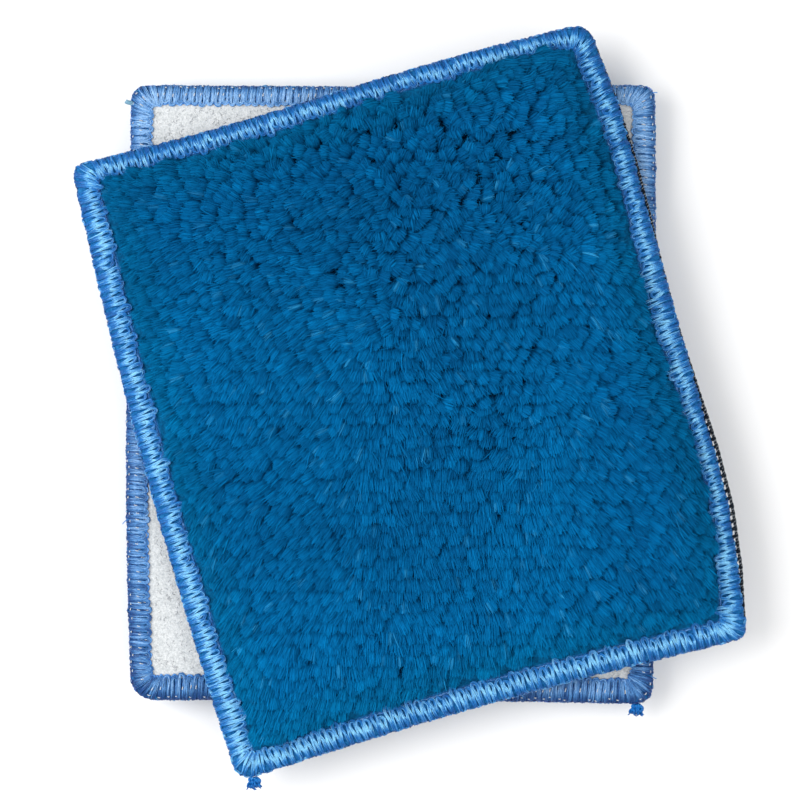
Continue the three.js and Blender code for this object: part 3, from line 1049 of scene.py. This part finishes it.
def build_tongues(tufts, material):
    """The solid bodies of the tufts, which close the gaps between their strands."""
    pad, sides = tufts.pad, 8
    chosen = np.arange(tufts.count)
    t = np.broadcast_to(np.array([0.0, 0.3, 0.5, 0.68, 0.81, 0.90, 0.94]), (tufts.count, 7))
    spine, across, over = tufts.spine(chosen, t)
    past = np.clip((t - 0.64) / (0.96 - 0.64), 0, 1)
    swell = np.interp(t, [0, 0.4], [0.55, 1.0])
    wide = TUFT_HALF_WIDTH * tufts.scale[:, None] * np.sqrt(1 - past ** 2) * swell * 0.85
    deep = TUFT_HALF_DEPTH * tufts.scale[:, None] * np.sqrt(1 - past ** 2) * swell * 0.8
    angles = np.arange(sides) / sides * 2 * math.pi
    ring = (across[:, :, None] * (wide[:, :, None] * np.cos(angles))[..., None]
            + over[:, :, None] * (deep[:, :, None] * np.sin(angles))[..., None])
    points = spine[:, :, None] + ring
    _, quads, tris, maps = tubes(spine, wide, sides, (across, over))
    # Painted shade: through the reach attribute the tongues darken towards the root and on their
    # undersides.
    upper = np.clip(0.5 + 0.5 * np.sin(angles), 0, 1)[None, None, :]
    attributes = {
        "reach": np.broadcast_to(t[:, :, None] * (0.50 + 0.42 * upper), points.shape[:3]),
        "shade": np.broadcast_to(tufts.shade[:, None, None], points.shape[:3]),
        "teal": np.broadcast_to(tufts.teal[:, None, None], points.shape[:3]),
    }
    points = points.reshape(-1, 3)
    pile = make_mesh(f"{tufts.name}_tongues", pad, points, quads, tris, attributes, maps)
    dress(pile, pad, material, "pile")


def build_strands(tufts, material, strands, seed):
    """The fibres that lie side by side over the tufts, in a few meshes."""
    pad = tufts.pad
    rng = np.random.default_rng(seed)
    chosen = np.repeat(np.arange(tufts.count), strands)
    count = len(chosen)
    angle = rng.uniform(math.radians(-10), math.radians(190), count)
    wild = rng.uniform(0, 1, count) < 0.09
    reach = TUFT_ROUNDING_START + (1 - TUFT_ROUNDING_START) * np.abs(np.sin(angle)) ** 0.85
    reach += rng.normal(0.01, 0.032, count) + wild * rng.uniform(0, 0.12, count)
    begin = rng.uniform(0.25, 0.55, count)
    s = np.linspace(0, 1, STRAND_POINTS)
    t = begin[:, None] + (reach - begin)[:, None] * s
    spine, across, over = tufts.spine(chosen, t)
    splay = rng.normal(0, 0.07, count) + wild * rng.normal(0, 0.3, count)
    sideways = np.cos(angle)[:, None] + splay[:, None] * s ** 1.5 * 1.6
    depth = tufts.half_depth(chosen, t) * rng.uniform(0.8, 1.15, count)[:, None]
    raised = np.sin(angle)[:, None] * depth + (wild * 0.25)[:, None] * s
    wide = TUFT_HALF_WIDTH * tufts.scale[chosen][:, None]
    paths = spine + across * (sideways * wide)[..., None] + over * raised[..., None]
    roll = rng.normal(0, 0.45, count)[:, None, None]
    flat = unit(across * (wide * np.sin(angle)[:, None])[..., None]
                - over * (depth * np.cos(angle)[:, None])[..., None])
    facing = flat * np.cos(roll) + over * np.sin(roll)
    profile = np.interp(s, [0, 0.6, 0.9, 1.0], [0.9, 1.0, 0.9, 0.45])
    widths = STRAND_WIDTH * profile * rng.uniform(0.7, 1.3, count)[:, None]
    # Painted shade through reach: strands darken towards the root and on the tufts' undersides. A few
    # strands get a painted highlight.
    upper = 0.5 + 0.5 * np.sin(angle)
    reaches = np.clip(t, 0, 1) * (0.45 + 0.55 * upper)[:, None]
    light = rng.uniform(0, 1, count) < 0.05
    shade = np.clip(tufts.shade[chosen] + rng.normal(0, 0.09, count) + light * 0.25, 0, 1)
    gleam = tufts.gleam[chosen] * np.clip(1.2 - np.abs(angle - tufts.gleam_angle[chosen]) / 0.25, 0, 1)
    pieces = int(math.ceil(count / STRANDS_PER_MESH))
    for number, part in enumerate(np.array_split(np.arange(count), pieces), start=1):
        points, quads, maps = ribbons(paths[part], facing[part], widths[part])
        attributes = {
            "reach": np.repeat(reaches[part].ravel(), 2),
            "shade": np.repeat(shade[part], STRAND_POINTS * 2),
            "teal": np.repeat(tufts.teal[chosen[part]], STRAND_POINTS * 2),
            "gleam": np.repeat(gleam[part], STRAND_POINTS * 2),
        }
        pile = make_mesh(f"{tufts.name}_strands_{number}", pad, points, quads, None, attributes, maps)
        dress(pile, pad, material, "pile")


def build_fuzz(pad, material, puff, count, seed):
    """Loose curls of white fibre standing on the brushed loop fabric."""
    rng = np.random.default_rng(seed)
    low, high = pad.inner.min(axis=0), pad.inner.max(axis=0)
    places = rng.uniform(low, high, (count * 2, 2))
    places = places[pad.depth_inside(places, 6)[0] > 0.4][:count]
    heading = rng.uniform(0, 2 * math.pi, len(places))
    bend = rng.uniform(1.0, 4.0, len(places)) * rng.choice([-1, 1], len(places))
    length = rng.uniform(0.7, 1.9, len(places))
    s = np.linspace(0, 1, 5)
    way = heading[:, None] + bend[:, None] * s
    run = np.stack([np.cos(way), np.sin(way)], -1) * (length[:, None, None] / 4)
    flat = places[:, None] + np.cumsum(run, axis=1)
    grid, lifts = puff
    beside = np.linalg.norm(places[:, None] - grid.reshape(1, -1, 2), axis=2).argmin(axis=1)
    lying = pad.knit_height + 0.02 + lifts.ravel()[beside]
    height = -lying[:, None] - rng.uniform(0.05, 0.22, len(places))[:, None] * np.sin(math.pi * s)
    paths = np.concatenate([flat, height[..., None]], -1)
    radii = np.repeat(rng.uniform(0.045, 0.085, (len(places), 1)), 5, axis=1)
    points, quads, tris, maps = tubes(paths, radii, 3)
    shade = np.repeat(rng.uniform(0.2, 1.0, len(places)), 15)
    fuzz = make_mesh("loop_fibres", pad, points, quads, tris, {"shade": shade}, maps)
    dress(fuzz, pad, material, "loop_backing")


# ---------------------------------------------------------------- stage, light and camera

def build_stage():
    """A plain pale floor, a soft key light from the upper left and a fill from the right."""
    mesh = bpy.data.meshes.new("floor")
    reach = 1.5
    mesh.from_pydata([(-reach, -reach, 0), (reach, -reach, 0), (reach, reach, 0), (-reach, reach, 0)],
                     [], [(0, 1, 2, 3)])
    floor = bpy.data.objects.new("floor", mesh)
    floor.location.z = CAD_BOX[0].z - 0.0005
    floor.data.materials.append(plain_floor_material())
    bpy.context.scene.collection.objects.link(floor)
    for name, energy, size, place in (
        ("key", 5.5, 0.6, (-0.55, 0.10, 0.60)),
        ("fill", 2.5, 0.8, (0.6, -0.3, 0.7)),
    ):
        light = bpy.data.lights.new(name, "AREA")
        light.energy, light.size = energy, size
        lamp = bpy.data.objects.new(name, light)
        lamp.location = place
        direction = -lamp.location
        lamp.rotation_euler = direction.to_track_quat("-Z", "Y").to_euler()
        bpy.context.scene.collection.objects.link(lamp)
    world = bpy.data.worlds.new("studio")
    world.use_nodes = True
    world.node_tree.nodes["Background"].inputs["Color"].default_value = (1, 1, 1, 1)
    world.node_tree.nodes["Background"].inputs["Strength"].default_value = 0.75
    bpy.context.scene.world = world
    bpy.context.scene.view_settings.view_transform = "Standard"


def build_camera():
    """Straight above the pads, looking down."""
    camera = bpy.data.cameras.new("camera")
    camera.lens = CAMERA_LENS
    holder = bpy.data.objects.new("camera", camera)
    middle = (CAD_BOX[0] + CAD_BOX[1]) / 2
    holder.location = (
        middle.x + CAMERA_SHIFT[0] * MM, middle.y + CAMERA_SHIFT[1] * MM, CAMERA_HEIGHT * MM)
    bpy.context.scene.collection.objects.link(holder)
    bpy.context.scene.camera = holder


# ---------------------------------------------------------------- the whole object

LOOKS = {
    "pile": pile_material(),
    "knit": knit_material("ground_knit", (0.0, 0.07, 0.19), (0.0, 0.15, 0.35)),
    "pressed_and_shade_bed": knit_material("pressed_pile", (0.003, 0.09, 0.27), (0.02, 0.18, 0.46)),
    "foam": foam_material(),
    "fleece": fleece_material(),
    "fuzz": fuzz_material(),
}
for look, name, deep, clear, bright, gloss in (
    ("upper", "upper_looper", (0.0, 0.080, 0.32), (0.006, 0.205, 0.62), (0.26, 0.68, 1.0), 0.28),
    ("lower", "lower_looper", (0.008, 0.06, 0.24), (0.075, 0.26, 0.60), (0.32, 0.57, 0.90), 0.28),
    ("needle", "needle", (0.01, 0.10, 0.40), (0.06, 0.25, 0.66), (0.26, 0.52, 0.92), 0.28),
    ("purl", "edge_purl", (0.02, 0.015, 0.13), (0.06, 0.13, 0.42), (0.35, 0.48, 0.85), 0.28),
    # The cord look is near-black for painted shade, on the side of the front pad away from the light.
    ("cord", "edge_cord", (0.0, 0.002, 0.006), (0.006, 0.010, 0.018), (0.20, 0.22, 0.24), 0.08),
    ("grey", "grey_fibre", (0.08, 0.22, 0.33), (0.15, 0.32, 0.45), (0.30, 0.50, 0.62), 0.28),
    ("pale", "pale_fibre", (0.35, 0.40, 0.45), (0.60, 0.65, 0.70), (0.85, 0.88, 0.90), 0.28),
):
    LOOKS[look] = thread_material(name, deep, clear, bright, gloss)

# The tuple after the turn is each pad's painted side shade on its threads: a constant and slopes across x
# and y.
front = Pad("front", True, 14.7, (-0.11, 0.0, -0.07), (0.0, 1.2, 0.0, 0.0), cord_side=0)
rear = Pad("rear", False, 0.0, (-0.06, 0.02, 0.15), (0.1, 1.0, 0.45, -0.55))
for pad in (rear, front):
    puff = simulated_puff(pad, CLOTH_SEED)
    build_layers(pad, LOOKS, puff)
    build_sewing(pad, LOOKS)
    build_caught_loops(pad, LOOKS["pale"], 90)
    build_tail(pad, LOOKS["upper"])
    build_fuzz(pad, LOOKS["fuzz"], puff, LOOSE_CURLS[pad.name], 500)
build_cord(front, LOOKS["cord"])
for tufts, strands, seed in (
    (Tufts("pile", front, TUFT_SPACING, 300), 96, 310),
    (Tufts("undercoat", front, TUFT_SPACING * 0.78, 320, height=0.85, lying=0.7), 15, 330),
    (Tufts("pile", rear, TUFT_SPACING * 1.2, 400), 20, 410),
):
    build_tongues(tufts, LOOKS["pile"])
    build_strands(tufts, LOOKS["pile"], strands, seed)
for name, pad, look, side, share, length, lean, radius, seed in (
    ("a", rear, "grey", 2, 0.021, 2.1, 14, 0.62, 81),
    ("b", rear, "upper", 2, 0.72, 2.2, 20, 0.12, 82),
    ("c", rear, "upper", 0, 0.99, 1.8, -30, 0.12, 83),
    # Stray d stands in painted shade, in the near-black cord look.
    ("d", front, "cord", 0, 0.31, 3.4, 50, 0.14, 84),
    ("e", front, "pale", 3, 0.16, 1.5, 160, 0.10, 85),
    ("f", rear, "lower", 0, 0.02, 1.8, -20, 0.12, 86),
):
    build_stray(name, pad, LOOKS[look], side, share, length, lean, radius, seed)
build_stage()
build_camera()
